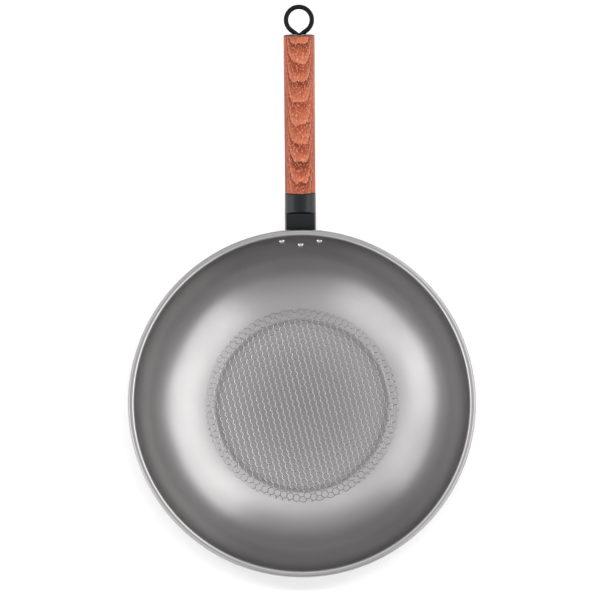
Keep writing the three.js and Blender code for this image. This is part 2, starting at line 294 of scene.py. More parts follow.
lamps = [soft_box(name, **panel, **PANEL) for name, panel in PANELS.items()]
lamps.append(soft_box("beyond", **BEYOND_BOX))
lamps.append(soft_box("overhead", **SHADOW_LAMP))
lamps[-1].visible_glossy = False
print("lamps:", [lamp.name for lamp in lamps])

# %% [markdown]
# ## Effects that several finishes share
#
# Handled metal, paint and varnish are never evenly glossy: faint smudges change the gloss over a few
# centimetres. They also have a grain far finer than a millimetre. Both are node groups, built once
# and placed in each material with its own values. They only put out numbers, and the shader itself
# stays in the material.

# %% Smudges and fine grain
SMUDGE_NOISE = {"Detail": 5, "Roughness": 0.6}
SMUDGE_NOISE_RANGE = (0.3, 0.7)
GRAIN_NOISE = {"Detail": 3, "Roughness": 0.7}


def new_group(name, inputs, output):
    """A shader node group with one vector input, number inputs and one number output."""
    tree = bpy.data.node_groups.new(name, "ShaderNodeTree")
    tree.interface.new_socket("Place", in_out="INPUT", socket_type="NodeSocketVector")
    for socket in inputs:
        tree.interface.new_socket(socket, in_out="INPUT", socket_type="NodeSocketFloat")
    tree.interface.new_socket(output, in_out="OUTPUT", socket_type="NodeSocketFloat")
    return tree, add_node(tree, "NodeGroupInput").outputs


def noise_at(tree, given, settings):
    """Noise at the group's Place and Scale."""
    inputs = {"Vector": given["Place"], "Scale": given["Scale"], **settings}
    return output_of(tree, "ShaderNodeTexNoise", inputs)


def smudge_group():
    """A value that wanders between Low and High in soft patches."""
    tree, given = new_group("smudges", ["Scale", "Low", "High"], "Value")
    cloud = noise_at(tree, given, SMUDGE_NOISE)
    value = map_range(tree, cloud, SMUDGE_NOISE_RANGE, (given["Low"], given["High"]))
    add_node(tree, "NodeGroupOutput", {"Value": value})
    return tree


def grain_group():
    """The height of a fine, even grain."""
    tree, given = new_group("fine_grain", ["Scale"], "Height")
    add_node(tree, "NodeGroupOutput", {"Height": noise_at(tree, given, GRAIN_NOISE)})
    return tree


smudges = smudge_group()
fine_grain = grain_group()
print("shared effects:", smudges.name, fine_grain.name)

# %% [markdown]
# ## Starting a material
#
# Every finish starts in the same way: a Principled BSDF, Object coordinates, smudges that drive the
# roughness, and something fine that drives a Bump node. What is the same all over the surface, such
# as metallic or the specular level, is set straight on the shader's sockets.

# %% Material helper
SMUDGES_PER_METRE = 22


class Finish:
    """A material under construction: its tree, its shader, and the place of the shaded point."""

    def __init__(self, name, colour, roughness, metallic=0, specular=0.5):
        self.material = bpy.data.materials.new(name)
        self.material.use_nodes = True
        self.tree = self.material.node_tree
        self.shader = self.tree.nodes["Principled BSDF"]
        self.shader.inputs["Base Color"].default_value = (*colour, 1)
        self.shader.inputs["Metallic"].default_value = metallic
        self.shader.inputs["Specular IOR Level"].default_value = specular
        self.place = add_node(self.tree, "ShaderNodeTexCoord").outputs["Object"]
        low, high = roughness
        self.feed("Roughness", self.effect(smudges, Scale=SMUDGES_PER_METRE, Low=low, High=high))

    def feed(self, socket, value):
        self.tree.links.new(value, self.shader.inputs[socket])

    def effect(self, group, **inputs):
        """The output of a shared effect at this place."""
        inputs["Place"] = self.place
        return output_of(self.tree, "ShaderNodeGroup", inputs, node_tree=group)

    def bumpy(self, height, depth):
        bump = {"Height": height, "Distance": depth}
        self.feed("Normal", output_of(self.tree, "ShaderNodeBump", bump))


print("material helper ready")

# %% [markdown]
# ## Paint, coated wire, polish and zinc
#
# The bracket has satin black paint and the hanging eye a thin black coat with a soft sheen. The rivets
# are polished, and the washer and nut are zinc plated. Each could have a material of its own, but they
# differ only in their values: one colour, a range of roughness, and the size and depth of the grain.
# So a table holds the values and one function makes all four.

# %% Plain finishes
PLAIN_FINISHES = {
    "black_paint": {
        "colour": (0.005, 0.0055, 0.007),
        "specular": 0.42,
        "roughness": (0.30, 0.37),
        "grains_per_metre": 1600,
        "grain_depth": 0.02 * MM,
    },
    "black_wire": {
        "colour": (0.004, 0.004, 0.0045),
        "specular": 0.22,
        "roughness": (0.18, 0.26),
        "grains_per_metre": 1200,
        "grain_depth": 0.01 * MM,
    },
    "polished_steel": {
        "colour": (0.62, 0.62, 0.62),
        "metallic": 1,
        "roughness": (0.12, 0.18),
        "grains_per_metre": 900,
        "grain_depth": 0.003 * MM,
    },
    "zinc_plate": {
        "colour": (0.60, 0.60, 0.58),
        "metallic": 1,
        "roughness": (0.25, 0.38),
        "grains_per_metre": 1100,
        "grain_depth": 0.01 * MM,
    },
}


def plain_finish(name, grains_per_metre, grain_depth, **values):
    """A finish of one colour with smudges and a fine grain."""
    finish = Finish(name, **values)
    finish.bumpy(finish.effect(fine_grain, Scale=grains_per_metre), grain_depth)
    return finish.material


plain = {name: plain_finish(name, **values) for name, values in PLAIN_FINISHES.items()}
print("plain finishes:", list(plain))

# %% [markdown]
# ## Satin steel
#
# The bowl is spun against a polishing wheel, which leaves rings too fine to see one by one. They are
# a noise that changes only with the distance from the axis. They spread the reflections a little
# more across the rings than along them. Light and shade are painted into the steel's colour by a
# colour ramp over the distance from the axis, as a share of the rim's radius. It paints light on
# parts of the base and the wall, and shade on the steep wall just below the rim, the middle of the
# base, the crease around the base and the edge of the pressed pattern. It also paints a highlight on
# the inner edge of the rim.

# %% Satin steel
STEEL = (0.437, 0.427, 0.427)
STEEL_ROUGHNESS = (0.28, 0.34)
# Painted light and shade on the steel: how bright its colour is at each share of the rim's radius.
PAINTED_LIGHT_BY_RADIUS = (
    (0.000, 0.92),
    (0.250, 1.02),
    (0.430, 1.22),
    (0.478, 1.18),
    (0.496, 0.96),
    (0.508, 0.94),
    (0.524, 1.09),
    (0.568, 0.93),
    (0.572, 1.04),
    (0.700, 1.00),
    (0.800, 1.00),
    (0.845, 1.10),
    (0.886, 0.86),
    (0.930, 0.65),
    (0.962, 0.60),
    (0.966, 1.35),
    (0.982, 1.35),
    (0.990, 0.85),
)
POLISH_RINGS_PER_METRE = 2600
POLISH_RING_DETAIL = 2
POLISH_RING_DEPTH = 0.004 * MM


def satin_steel():
    """Steel with fine rings, and painted light and shade that change with the distance from the axis."""
    finish = Finish("satin_steel", STEEL, STEEL_ROUGHNESS, metallic=1)
    tree = finish.tree
    parts = split(tree, finish.place)
    radius = length(tree, combine(tree, parts["X"], parts["Y"]))
    noise = {"W": radius, "Scale": POLISH_RINGS_PER_METRE, "Detail": POLISH_RING_DETAIL}
    rings = output_of(tree, "ShaderNodeTexNoise", noise, noise_dimensions="1D")
    finish.bumpy(rings, POLISH_RING_DEPTH)
    share = maths(tree, "DIVIDE", radius, rim_radius)
    # Painted light and shade: the steel's colour scaled by the ramp over the radius.
    stops = [(position, [painted_light * value for value in STEEL]) for position, painted_light in PAINTED_LIGHT_BY_RADIUS]
    finish.feed("Base Color", colour_ramp(tree, share, stops))
    return finish.material


steel = satin_steel()
print("made", steel.name)

# %% [markdown]
# ## Varnished wood
#
# The grip is turned from a plank whose year rings lie almost flat, but not quite along the grip.
# Where such a ring comes out on the round top it draws an arch, and the arches repeat along the grip.
# So the ring number is a slanted distance: along the grip plus many times the height. Across one
# ring the colour goes slowly from pale early wood to dark late wood, then starts again at once. Slow
# noise lets the rings wander, most of all near the bracket. Noise drawn out along the grip frays
# their edges into fibres. On the sides the rings are cut square and run as fine straight lines, so
# there the place in the ring is a noise that is drawn out far along the grip. The end is darker,
# partly because it is end grain and partly as painted shade.

# %% Colours and grain of the wood
GRIP_LENGTH = 145.8
RING_PITCH = 18.9 * MM
RING_SLANT = 28.0
RING_RADIUS = 13.8 * MM
RING_PHASE = 0.83
RING_WANDER = (1.15, 0.8)
RING_FRAY = 0.22
RING_STRENGTH = (0.72, 1.08)
SIDE_HEIGHTS = (10 * MM, 4 * MM)
SIDE_FLECK_LOSS = 0.75
# Where the end of the grip darkens: partly end grain, partly painted shade.
END_DARK_FROM = 1.2
END_DARK_TO = 0.5
WOOD_NOISES = {
    "fibre": {"drawn_out": 0.08, "per_metre": 1000, "detail": 4},
    "fleck": {"drawn_out": 0.55, "per_metre": 900, "detail": 3},
    "wander": {"drawn_out": 0.35, "per_metre": 70, "detail": 2},
    "strength": {"drawn_out": 1.0, "per_metre": 45, "detail": 1},
    "side_lines": {"drawn_out": 0.02, "per_metre": 420, "detail": 4},
}
STRENGTH_NOISE_RANGE = (0.35, 0.62)
SIDE_LINES_NOISE_RANGE = (0.34, 0.70)
FLECK_NOISE_RANGE = (0.52, 0.66)
FIBRE_NOISE_RANGE = (0.54, 0.70)
FLECK_COVER = 0.45
FIBRE_COVER = 0.45
WOOD_RAMP = (
    (0.00, (0.50, 0.150, 0.078)),
    (0.30, (0.38, 0.097, 0.048)),
    (0.56, (0.28, 0.055, 0.025)),
    (0.82, (0.185, 0.030, 0.012)),
    (1.00, (0.125, 0.020, 0.008)),
)
PORE_DARK = (0.165, 0.029, 0.012)
FLECK_PALE = (0.84, 0.39, 0.25)
# Colours of the end: end grain with painted shade on it.
END_GRAIN_AND_SHADE_PALE = (0.10, 0.040, 0.024)
END_GRAIN_AND_SHADE_DARK = (0.040, 0.016, 0.010)
WOOD_ROUGHNESS = (0.42, 0.55)
WOOD_SPECULAR = 0.22
FIBRE_DEPTH = 0.05 * MM
print(f"grip {GRIP_LENGTH} mm long, a ring every {RING_PITCH / MM:.1f} mm along it")

# %% [markdown]
# The wood's material works in the handle frame. It first finds how late in its year ring a point of
# the wood grew, between 0 and 1, and then colours it.

# %% Varnished wood


def drawn_out_noise(tree, local, drawn_out, per_metre, detail):
    """Noise that is drawn out along the grip."""
    stretched = output_of(tree, "ShaderNodeMapping", {"Vector": local, "Scale": (1, drawn_out, 1)})
    inputs = {"Vector": stretched, "Scale": per_metre, "Detail": detail}
    return output_of(tree, "ShaderNodeTexNoise", inputs)


def blended(tree, factor, under, over):
    """One colour over another, each an output or three numbers."""
    colours = [c if isinstance(c, bpy.types.NodeSocket) else (*c, 1) for c in (under, over)]
    mix = add_node(tree, "ShaderNodeMix", {0: factor, 6: colours[0], 7: colours[1]}, data_type="RGBA")
    return mix.outputs[2]


def place_in_ring(tree, parts, noise, side):
    """0 for early wood to 1 for late wood: arches on the top, straight lines on the sides."""
    bulge = maths(tree, "MULTIPLY", maths(tree, "MULTIPLY", parts["X"], parts["X"]), 0.5 / RING_RADIUS)
    height = maths(tree, "ADD", parts["Z"], bulge)
    slanted = maths(tree, "MULTIPLY_ADD", height, RING_SLANT, parts["Y"])
    ring = maths(tree, "ADD", maths(tree, "DIVIDE", slanted, RING_PITCH), RING_PHASE)
    reach = map_range(tree, parts["Y"], (0.0, GRIP_LENGTH / 2 * MM), RING_WANDER)
    ring = maths(tree, "MULTIPLY_ADD", noise["wander"], reach, ring)
    ring = maths(tree, "MULTIPLY_ADD", noise["fibre"], RING_FRAY, ring)
    strength = map_range(tree, noise["strength"], STRENGTH_NOISE_RANGE, RING_STRENGTH)
    arches = maths(tree, "MULTIPLY", maths(tree, "FRACT", ring), strength)
    lines = map_range(tree, noise["side_lines"], SIDE_LINES_NOISE_RANGE, (0.0, 1.0))
    return maths(tree, "MULTIPLY_ADD", maths(tree, "SUBTRACT", lines, arches), side, arches)


def varnished_wood():
    """Reddish wood with arched rings, pale flecks, dark pores, and an end darkened partly by painted
    shade.
    """
    finish = Finish("varnished_wood", WOOD_RAMP[1][1], WOOD_ROUGHNESS, specular=WOOD_SPECULAR)
    tree = finish.tree
    to_handle = {"Vector": finish.place, "Location": mouth, "Rotation": (handle_tilt, 0, 0)}
    local = output_of(tree, "ShaderNodeMapping", to_handle, vector_type="TEXTURE")
    parts = split(tree, local)
    noise = {name: drawn_out_noise(tree, local, **values) for name, values in WOOD_NOISES.items()}
    side = map_range(tree, parts["Z"], SIDE_HEIGHTS, (0.0, 1.0))
    late = place_in_ring(tree, parts, noise, side)
    colour = colour_ramp(tree, late, WOOD_RAMP)
    flecks = map_range(tree, noise["fleck"], FLECK_NOISE_RANGE, (0.0, FLECK_COVER))
    flecks_left = maths(tree, "MULTIPLY_ADD", side, -SIDE_FLECK_LOSS, 1.0)
    colour = blended(tree, maths(tree, "MULTIPLY", flecks, flecks_left), colour, FLECK_PALE)
    pores = map_range(tree, noise["fibre"], FIBRE_NOISE_RANGE, (0.0, FIBRE_COVER))
    colour = blended(tree, pores, colour, PORE_DARK)
    # Painted shade and end grain: the last millimetre or so of the grip turns dark.
    end_shade_range = ((GRIP_LENGTH - END_DARK_FROM) * MM, (GRIP_LENGTH - END_DARK_TO) * MM)
    end = map_range(tree, parts["Y"], end_shade_range, (0.0, 1.0))
    end_grain_and_shade = blended(tree, late, END_GRAIN_AND_SHADE_PALE, END_GRAIN_AND_SHADE_DARK)
    finish.feed("Base Color", blended(tree, end, colour, end_grain_and_shade))
    finish.bumpy(noise["fibre"], FIBRE_DEPTH)
    return finish.material


wood = varnished_wood()
print("made", wood.name)

# %% [markdown]
# ## From a node tree to a plain mesh
#
# Shapes that follow a rule are grown by Geometry Nodes on a carrier object. The finished piece keeps
# only the mesh: the evaluated result is copied and the carrier is removed. Each piece then rides on
# the body it belongs to, and stands for one or more nodes of the CAD model.

# %% Growing and placing pieces


def add_object(name, mesh):
    obj = bpy.data.objects.new(name, mesh)
    bpy.context.scene.collection.objects.link(obj)
    return obj


def plain_mesh(carrier):
    """A copy of the carrier's mesh as its modifiers leave it. The carrier goes."""
    graph = bpy.context.evaluated_depsgraph_get()
    shape = carrier.evaluated_get(graph)
    mesh = bpy.data.meshes.new_from_object(shape, preserve_all_data_layers=True, depsgraph=graph)
    bpy.data.objects.remove(carrier)
    return mesh


def grow(tree, carrier_mesh, inputs):
    """The mesh that a Geometry Nodes tree grows on a carrier mesh, with these named inputs."""
    carrier = add_object("carrier", carrier_mesh)
    modifier = carrier.modifiers.new("grow", "NODES")
    modifier.node_group = tree
    items = tree.interface.items_tree
    sockets = {item.name: item.identifier for item in items if item.in_out == "INPUT"}
    for name, value in inputs.items():
        modifier[sockets[name]] = value
    return plain_mesh(carrier)


def add_piece(name, mesh, body, slot, *nodes):
    """A finished piece that rides on a body and stands for CAD nodes."""
    mesh.name = name
    piece = add_object(name, mesh)
    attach(piece, body)
    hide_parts(*nodes)
    low, high = (Vector(corner) / MM for corner in (piece.bound_box[0], piece.bound_box[6]))
    print(f"{name}: {len(mesh.polygons)} faces, from {low.to_tuple(1)} to {high.to_tuple(1)} mm")
    return piece


print("piece helpers ready")

# %% [markdown]
# Every Geometry Nodes tree here starts with a geometry input and named sizes, and ends with smooth
# shading, real instances and one material.

# %% Helpers for Geometry Nodes


def new_geometry_tree(name, sockets):
    """A Geometry Nodes tree with a geometry input, these further inputs, and a geometry output."""
    tree = bpy.data.node_groups.new(name, "GeometryNodeTree")
    tree.interface.new_socket("Geometry", in_out="INPUT", socket_type="NodeSocketGeometry")
    for socket, kind in sockets.items():
        tree.interface.new_socket(socket, in_out="INPUT", socket_type=f"NodeSocket{kind}")
    tree.interface.new_socket("Geometry", in_out="OUTPUT", socket_type="NodeSocketGeometry")
    return tree, add_node(tree, "NodeGroupInput").outputs


def position(tree):
    """The place of each point."""
    return output_of(tree, "GeometryNodeInputPosition")


def moved_to(tree, geometry, place):
    """The geometry with each point at a new place."""
    return output_of(tree, "GeometryNodeSetPosition", {"Geometry": geometry, "Position": place})


def joined(tree, *parts):
    """Several geometries as one."""
    join = add_node(tree, "GeometryNodeJoinGeometry")
    for part in parts:
        tree.links.new(part, join.inputs[0])
    return join.outputs[0]


def finish_tree(tree, geometry, material):
    """Ends a tree: smooth shading, real instances, one material."""
    smooth = output_of(tree, "GeometryNodeSetShadeSmooth", {"Geometry": geometry})
    real = output_of(tree, "GeometryNodeRealizeInstances", {"Geometry": smooth})
    coloured = output_of(tree, "GeometryNodeSetMaterial", {"Geometry": real, "Material": material})
    add_node(tree, "NodeGroupOutput", {"Geometry": coloured})


print("geometry helpers ready")

# %% [markdown]
# ## A lathe
#
# The bowl, the grip, the rivets and the washer are all turned: half of their outline, taken round an
# axis. One small tree does this for all of them. A circle swept with a profile is a turned shape,
# so the outline is moved in by the circle's radius and swept along it. Outlines are lists of
# (radius, height) in millimetres, walked so that the outside is on the left.

# %% The lathe
CIRCLE_RADIUS = 0.1
WELD = 0.001 * MM
SHARP_EDGE = math.radians(40)


def lathe():
    """A tree that takes an outline round the Z axis."""
    tree, given = new_geometry_tree("turned_profile", {"Segments": "Int", "Material": "Material"})
    parts = split(tree, position(tree))
    outward = maths(tree, "SUBTRACT", parts["X"], CIRCLE_RADIUS)
    down = maths(tree, "MULTIPLY", parts["Z"], -1.0)
    laid = moved_to(tree, given["Geometry"], combine(tree, outward, down))
    profile = output_of(tree, "GeometryNodeMeshToCurve", {"Mesh": laid})
    round_path = {"Resolution": given["Segments"], "Radius": CIRCLE_RADIUS}
    circle = output_of(tree, "GeometryNodeCurvePrimitiveCircle", round_path)
    skin = output_of(tree, "GeometryNodeCurveToMesh", {"Curve": circle, "Profile Curve": profile})
    welded = output_of(tree, "GeometryNodeMergeByDistance", {"Geometry": skin, "Distance": WELD})
    finish_tree(tree, welded, given["Material"])
    return tree


def line_mesh(points, closed=False):
    """A line through points in millimetres, as a mesh of edges."""
    mesh = bpy.data.meshes.new("line")
    edges = [(i, i + 1) for i in range(len(points) - 1)]
    if closed:
        edges.append((len(points) - 1, 0))
    mesh.from_pydata([(x * MM, y * MM, z * MM) for x, y, z in points], edges, [])
    return mesh


def turned(outline, segments, material, closed=False):
    """The turned shape of an outline, with its sharp edges kept sharp."""
    line = line_mesh([(radius, 0, height) for radius, height in outline], closed)
    mesh = grow(turned_profile, line, {"Segments": segments, "Material": material})
    mesh.set_sharp_from_angle(angle=SHARP_EDGE)
    return mesh


def arc(centre, radius, start, end, steps):
    """Points of an arc from one angle to another, in degrees up from the +r direction."""
    angles = [math.radians(start + (end - start) * i / steps) for i in range(steps + 1)]
    return [(centre[0] + radius * math.cos(a), centre[1] + radius * math.sin(a)) for a in angles]


turned_profile = lathe()
print("made", turned_profile.name)

# %% [markdown]
# ## The bowl
#
# One steel sheet: a flat floor, a small fillet, a wall of two arcs that gets steeper faster near the
# top, and a rim rolled outwards. The outline goes out along the inside and comes back along the
# underside, which needs fewer steps. Floor rings keep the floor's shading flat up to the fillet.

# %% The bowl's sheet
SHEET = 1.5
BASE_RADIUS = 80
BASE_FILLET = 8
FOOT_SLOPE = 21.5
MIDDLE_SLOPE = 37
TOP_SLOPE = 76
LOWER_WALL_RADIUS = 155
CURL_RADIUS = 3
CURL_TURN = 280
FLOOR_RINGS = (0, 20, 40, 60, 79.5)
INSIDE_STEPS = {"fillet_steps": 8, "wall_steps": 32, "curl_steps": 32}
UNDERSIDE_STEPS = {"fillet_steps": 8, "wall_steps": 16, "curl_steps": 16}
BOWL_SEGMENTS = 256


def centre_above(point, radius, slope):
    """Centre of the arc of this radius that has this slope, in degrees, at a point of the profile."""
    slope = math.radians(slope)
    return point[0] - radius * math.sin(slope), point[1] + radius * math.cos(slope)


fillet_centre = (BASE_RADIUS, SHEET + BASE_FILLET)
foot = arc(fillet_centre, BASE_FILLET, -90, FOOT_SLOPE - 90, 1)[-1]
lower_centre = centre_above(foot, LOWER_WALL_RADIUS, FOOT_SLOPE)
middle = arc(lower_centre, LOWER_WALL_RADIUS, FOOT_SLOPE - 90, MIDDLE_SLOPE - 90, 1)[-1]
sine_of_middle, sine_of_top = (math.sin(math.radians(slope)) for slope in (MIDDLE_SLOPE, TOP_SLOPE))
wall_top = rim_radius / MM - CURL_RADIUS * (1 + sine_of_top)
wall_radius = (wall_top - middle[0]) / (sine_of_top - sine_of_middle)
wall_centre = centre_above(middle, wall_radius, MIDDLE_SLOPE)
curl_centre = arc(wall_centre, wall_radius + CURL_RADIUS, TOP_SLOPE - 90, TOP_SLOPE, 1)[0]


def sheet_face(out, fillet_steps, wall_steps, curl_steps):
    """One face of the sheet from the axis to the end of the curl, this far out from the inside."""
    floor_points = [(radius, SHEET - out) for radius in FLOOR_RINGS]
    fillet = arc(fillet_centre, BASE_FILLET + out, -90, FOOT_SLOPE - 90, fillet_steps)
    lower = arc(lower_centre, LOWER_WALL_RADIUS + out, FOOT_SLOPE - 90, MIDDLE_SLOPE - 90, wall_steps)
    upper = arc(wall_centre, wall_radius + out, MIDDLE_SLOPE - 90, TOP_SLOPE - 90, wall_steps)
    curl_start = TOP_SLOPE + 90
    curl = arc(curl_centre, CURL_RADIUS - out, curl_start, curl_start - CURL_TURN, curl_steps)
    return floor_points + fillet + lower[1:] + upper[1:] + curl[1:]


underside = sheet_face(SHEET, **UNDERSIDE_STEPS)
bowl_outline = sheet_face(0, **INSIDE_STEPS) + underside[::-1]
bowl_sheet = turned(bowl_outline, BOWL_SEGMENTS, steel)
print(f"rim height {curl_centre[1] + CURL_RADIUS:.2f} mm, wall radius {wall_radius:.2f} mm")

# %% [markdown]
# ## The honeycomb on the base
#
# The floor is pressed with a honeycomb of fine raised lines. A grid with every other row shifted by
# half a step is a lattice of equal triangles, and its dual mesh is a honeycomb. Corners just outside
# the pattern are pulled onto its edge, so it ends in a clean circle. Every corner is then dropped
# straight down onto the bowl, so the lines also climb the foot of the wall. Each edge becomes a low
# ridge that is sunk halfway into the floor, and is a little smaller on the wall.

# %% The flat honeycomb
HONEYCOMB_SIZES = {
    "Pitch": 6.2 * MM,
    "Turn": math.radians(44),
    "Reach": 91.5 * MM,
    "Full Size To": BASE_RADIUS * MM,
    "Edge Line Size": 0.85,
    "Line Width": 0.95 * MM,
    "Line Height": 0.29 * MM,
    "Drop From": rim_height,
}
LINE_SIDES = 4
SPARE_LINES = 5.0
ROW_PER_PITCH = math.sqrt(3) / 2


def flat_cells(tree, given):
    """A flat honeycomb that reaches a little beyond the pattern, turned to its angle."""
    row = maths(tree, "MULTIPLY", given["Pitch"], ROW_PER_PITCH)

    def line_count(step):
        """An odd number of lines, with spare ones beyond the edge on both sides."""
        half = maths(tree, "CEIL", maths(tree, "DIVIDE", given["Reach"], step))
        return maths(tree, "MULTIPLY_ADD", half, 2.0, SPARE_LINES)

    columns, rows = line_count(given["Pitch"]), line_count(row)
    sizes = {
        "Size X": maths(tree, "MULTIPLY", maths(tree, "SUBTRACT", columns, 1.0), given["Pitch"]),
        "Size Y": maths(tree, "MULTIPLY", maths(tree, "SUBTRACT", rows, 1.0), row),
        "Vertices X": columns,
        "Vertices Y": rows,
    }
    grid = output_of(tree, "GeometryNodeMeshGrid", sizes)
    row_number = maths(tree, "ROUND", maths(tree, "DIVIDE", split(tree, position(tree))["Y"], row))
    odd = maths(tree, "FLOORED_MODULO", row_number, 2.0)
    shift = maths(tree, "MULTIPLY", maths(tree, "MULTIPLY", odd, given["Pitch"]), 0.5)
    offset = {"Geometry": grid, "Offset": combine(tree, shift)}
    shifted = output_of(tree, "GeometryNodeSetPosition", offset)
    triangles = output_of(tree, "GeometryNodeTriangulate", {"Mesh": shifted})
    cells = output_of(tree, "GeometryNodeDualMesh", {"Mesh": triangles})
    turn = combine(tree, 0.0, 0.0, given["Turn"])
    return output_of(tree, "GeometryNodeTransform", {"Geometry": cells, "Rotation": turn})


print(f"honeycomb {HONEYCOMB_SIZES['Pitch'] / MM:.1f} mm from cell to cell")

# %% [markdown]
# The rest of the tree trims the flat honeycomb to its circle, drops it onto the bowl and makes a ridge
# of every line.

# %% The honeycomb's ridges


def trimmed(tree, given, cells):
    """The honeycomb without what lies far outside its edge, and with the rest pulled inside it."""
    place = position(tree)
    distance = length(tree, place)
    far = maths(tree, "MULTIPLY_ADD", given["Pitch"], 0.5, given["Reach"])
    outside = {"Geometry": cells, "Selection": maths(tree, "GREATER_THAN", distance, far)}
    kept = output_of(tree, "GeometryNodeDeleteGeometry", outside)
    inward = maths(tree, "MINIMUM", maths(tree, "DIVIDE", given["Reach"], distance), 1.0)
    pulled = output_of(tree, "ShaderNodeVectorMath", {0: place, "Scale": inward}, operation="SCALE")
    return moved_to(tree, kept, pulled)


def dropped(tree, given, cells):
    """The honeycomb with each corner straight down on the bowl."""
    parts = split(tree, position(tree))
    above = combine(tree, parts["X"], parts["Y"], given["Drop From"])
    fall = {"Target Geometry": given["Geometry"], "Source Position": above}
    hit = add_node(tree, "GeometryNodeRaycast", fall).outputs["Hit Position"]
    return moved_to(tree, cells, hit)


def ridges_along(tree, given, cells):
    """A low ridge along each line, smaller towards the edge of the pattern."""
    lines = output_of(tree, "GeometryNodeMeshToCurve", {"Mesh": cells})
    upright = output_of(tree, "GeometryNodeSetCurveNormal", {"Curve": lines}, mode="Z_UP")
    unit = {"Resolution": given["Line Sides"], "Radius": 1.0}
    circle = output_of(tree, "GeometryNodeCurvePrimitiveCircle", unit)
    half_width = maths(tree, "MULTIPLY", given["Line Width"], 0.5)
    scale = combine(tree, half_width, given["Line Height"], 1.0)
    section = output_of(tree, "GeometryNodeTransform", {"Geometry": circle, "Scale": scale})
    edge = (given["Full Size To"], given["Reach"])
    size = map_range(tree, length(tree, position(tree)), edge, (1.0, given["Edge Line Size"]))
    ridge = {"Curve": upright, "Profile Curve": section, "Scale": size, "Fill Caps": True}
    return output_of(tree, "GeometryNodeCurveToMesh", ridge)


def honeycomb_lines():
    """A tree that adds the raised lines to the bowl."""
    sockets = dict.fromkeys(HONEYCOMB_SIZES, "Float") | {"Line Sides": "Int", "Material": "Material"}
    tree, given = new_geometry_tree("honeycomb_lines", sockets)
    cells = dropped(tree, given, trimmed(tree, given, flat_cells(tree, given)))
    whole = joined(tree, given["Geometry"], ridges_along(tree, given, cells))
    finish_tree(tree, whole, given["Material"])
    return tree


bowl_inputs = HONEYCOMB_SIZES | {"Line Sides": LINE_SIDES, "Material": steel}
bowl = grow(honeycomb_lines(), bowl_sheet, bowl_inputs)
bowl.set_sharp_from_angle(angle=SHARP_EDGE)
add_piece("bowl", bowl, "wok", "satin_steel", "wok_body")

# %% [markdown]
# ## The bracket
#
# The bracket is cast and painted, so none of its edges is sharp. Its CAD node has the right form with
# sharp edges. A voxel remesh of a copy makes an even skin of small squares, and smoothing that skin
# rounds every edge by about the same radius. The collar's top is plain.

# %% The bracket
BRACKET_VOXEL = 0.45 * MM
BRACKET_SMOOTHINGS = 8


def rounded_copy(node, voxel, smoothings, material):
    """A copy of a CAD node's mesh with soft edges."""
    carrier = add_object("carrier", frame["nodes"][node].data.copy())
    remesh = carrier.modifiers.new("skin", "REMESH")
    remesh.mode = "VOXEL"
    remesh.voxel_size = voxel
    remesh.use_smooth_shade = True
    smooth = carrier.modifiers.new("soften", "SMOOTH")
    smooth.iterations = smoothings
    mesh = plain_mesh(carrier)
    mesh.materials.clear()
    mesh.materials.append(material)
    return mesh


bracket = rounded_copy("handle_bracket", BRACKET_VOXEL, BRACKET_SMOOTHINGS, plain["black_paint"])
add_piece("bracket", bracket, "wok", "black_paint", "handle_bracket")

# %% [markdown]
# ## The rivets
#
# Three equal rivets hold the bracket. One is turned on the lathe, and a small tree sets a copy on each
# of three points and turns its shank along the direction stored there. Their places are those of the
# CAD rivets: beside or below the handle's middle, where the wall has a given slope. The shank runs
# square to the wall.

# %% The rivets
RIVET_HEAD = (3.4, 1.9)
RIVET_HEAD_BASE = -0.05
RIVET_SHANK = 2.0
RIVET_TAIL = (3.6, 1.6)
RIVET_TAIL_BASE = 5.1
RIVET_SIDE = 17.4
RIVET_SLOPES = {-RIVET_SIDE: 69.1, 0.0: 63.6, RIVET_SIDE: 69.1}
DOME_STEPS = 10
RIVET_SEGMENTS = 48


def dome(radius, height):
    """A rounded head from its tip at this height down to its edge at height 0."""
    sphere = (radius**2 + height**2) / (2 * height)
    edge = math.degrees(math.asin(radius / sphere))
    return arc((0, height - sphere), sphere, 90, 90 - edge, DOME_STEPS)


def rivet_seat(side, slope):
    """A point on the inside of the wall, this far beside the handle, and the direction out through it."""
    slope = math.radians(slope)
    radius = wall_centre[0] + wall_radius * math.sin(slope)
    height = wall_centre[1] - wall_radius * math.cos(slope)
    turn = math.asin(side / radius)
    out = Vector((math.sin(turn) * math.sin(slope), math.cos(turn) * math.sin(slope), -math.cos(slope)))
    return Vector((side, radius * math.cos(turn), height)) * MM, out


def copies_on_points():
    """A tree that sets a copy of an object on each point, along the direction stored there."""
    tree, given = new_geometry_tree("copies_on_points", {"Copy": "Object", "Material": "Material"})
    model = add_node(tree, "GeometryNodeObjectInfo", {"Object": given["Copy"]}).outputs["Geometry"]
    stored = {"Name": "out"}
    out = output_of(tree, "GeometryNodeInputNamedAttribute", stored, data_type="FLOAT_VECTOR")
    turn = output_of(tree, "FunctionNodeAlignRotationToVector", {"Vector": out}, axis="Z")
    points = output_of(tree, "GeometryNodeMeshToPoints", {"Mesh": given["Geometry"]})
    placing = {"Points": points, "Instance": model, "Rotation": turn}
    finish_tree(tree, output_of(tree, "GeometryNodeInstanceOnPoints", placing), given["Material"])
    return tree


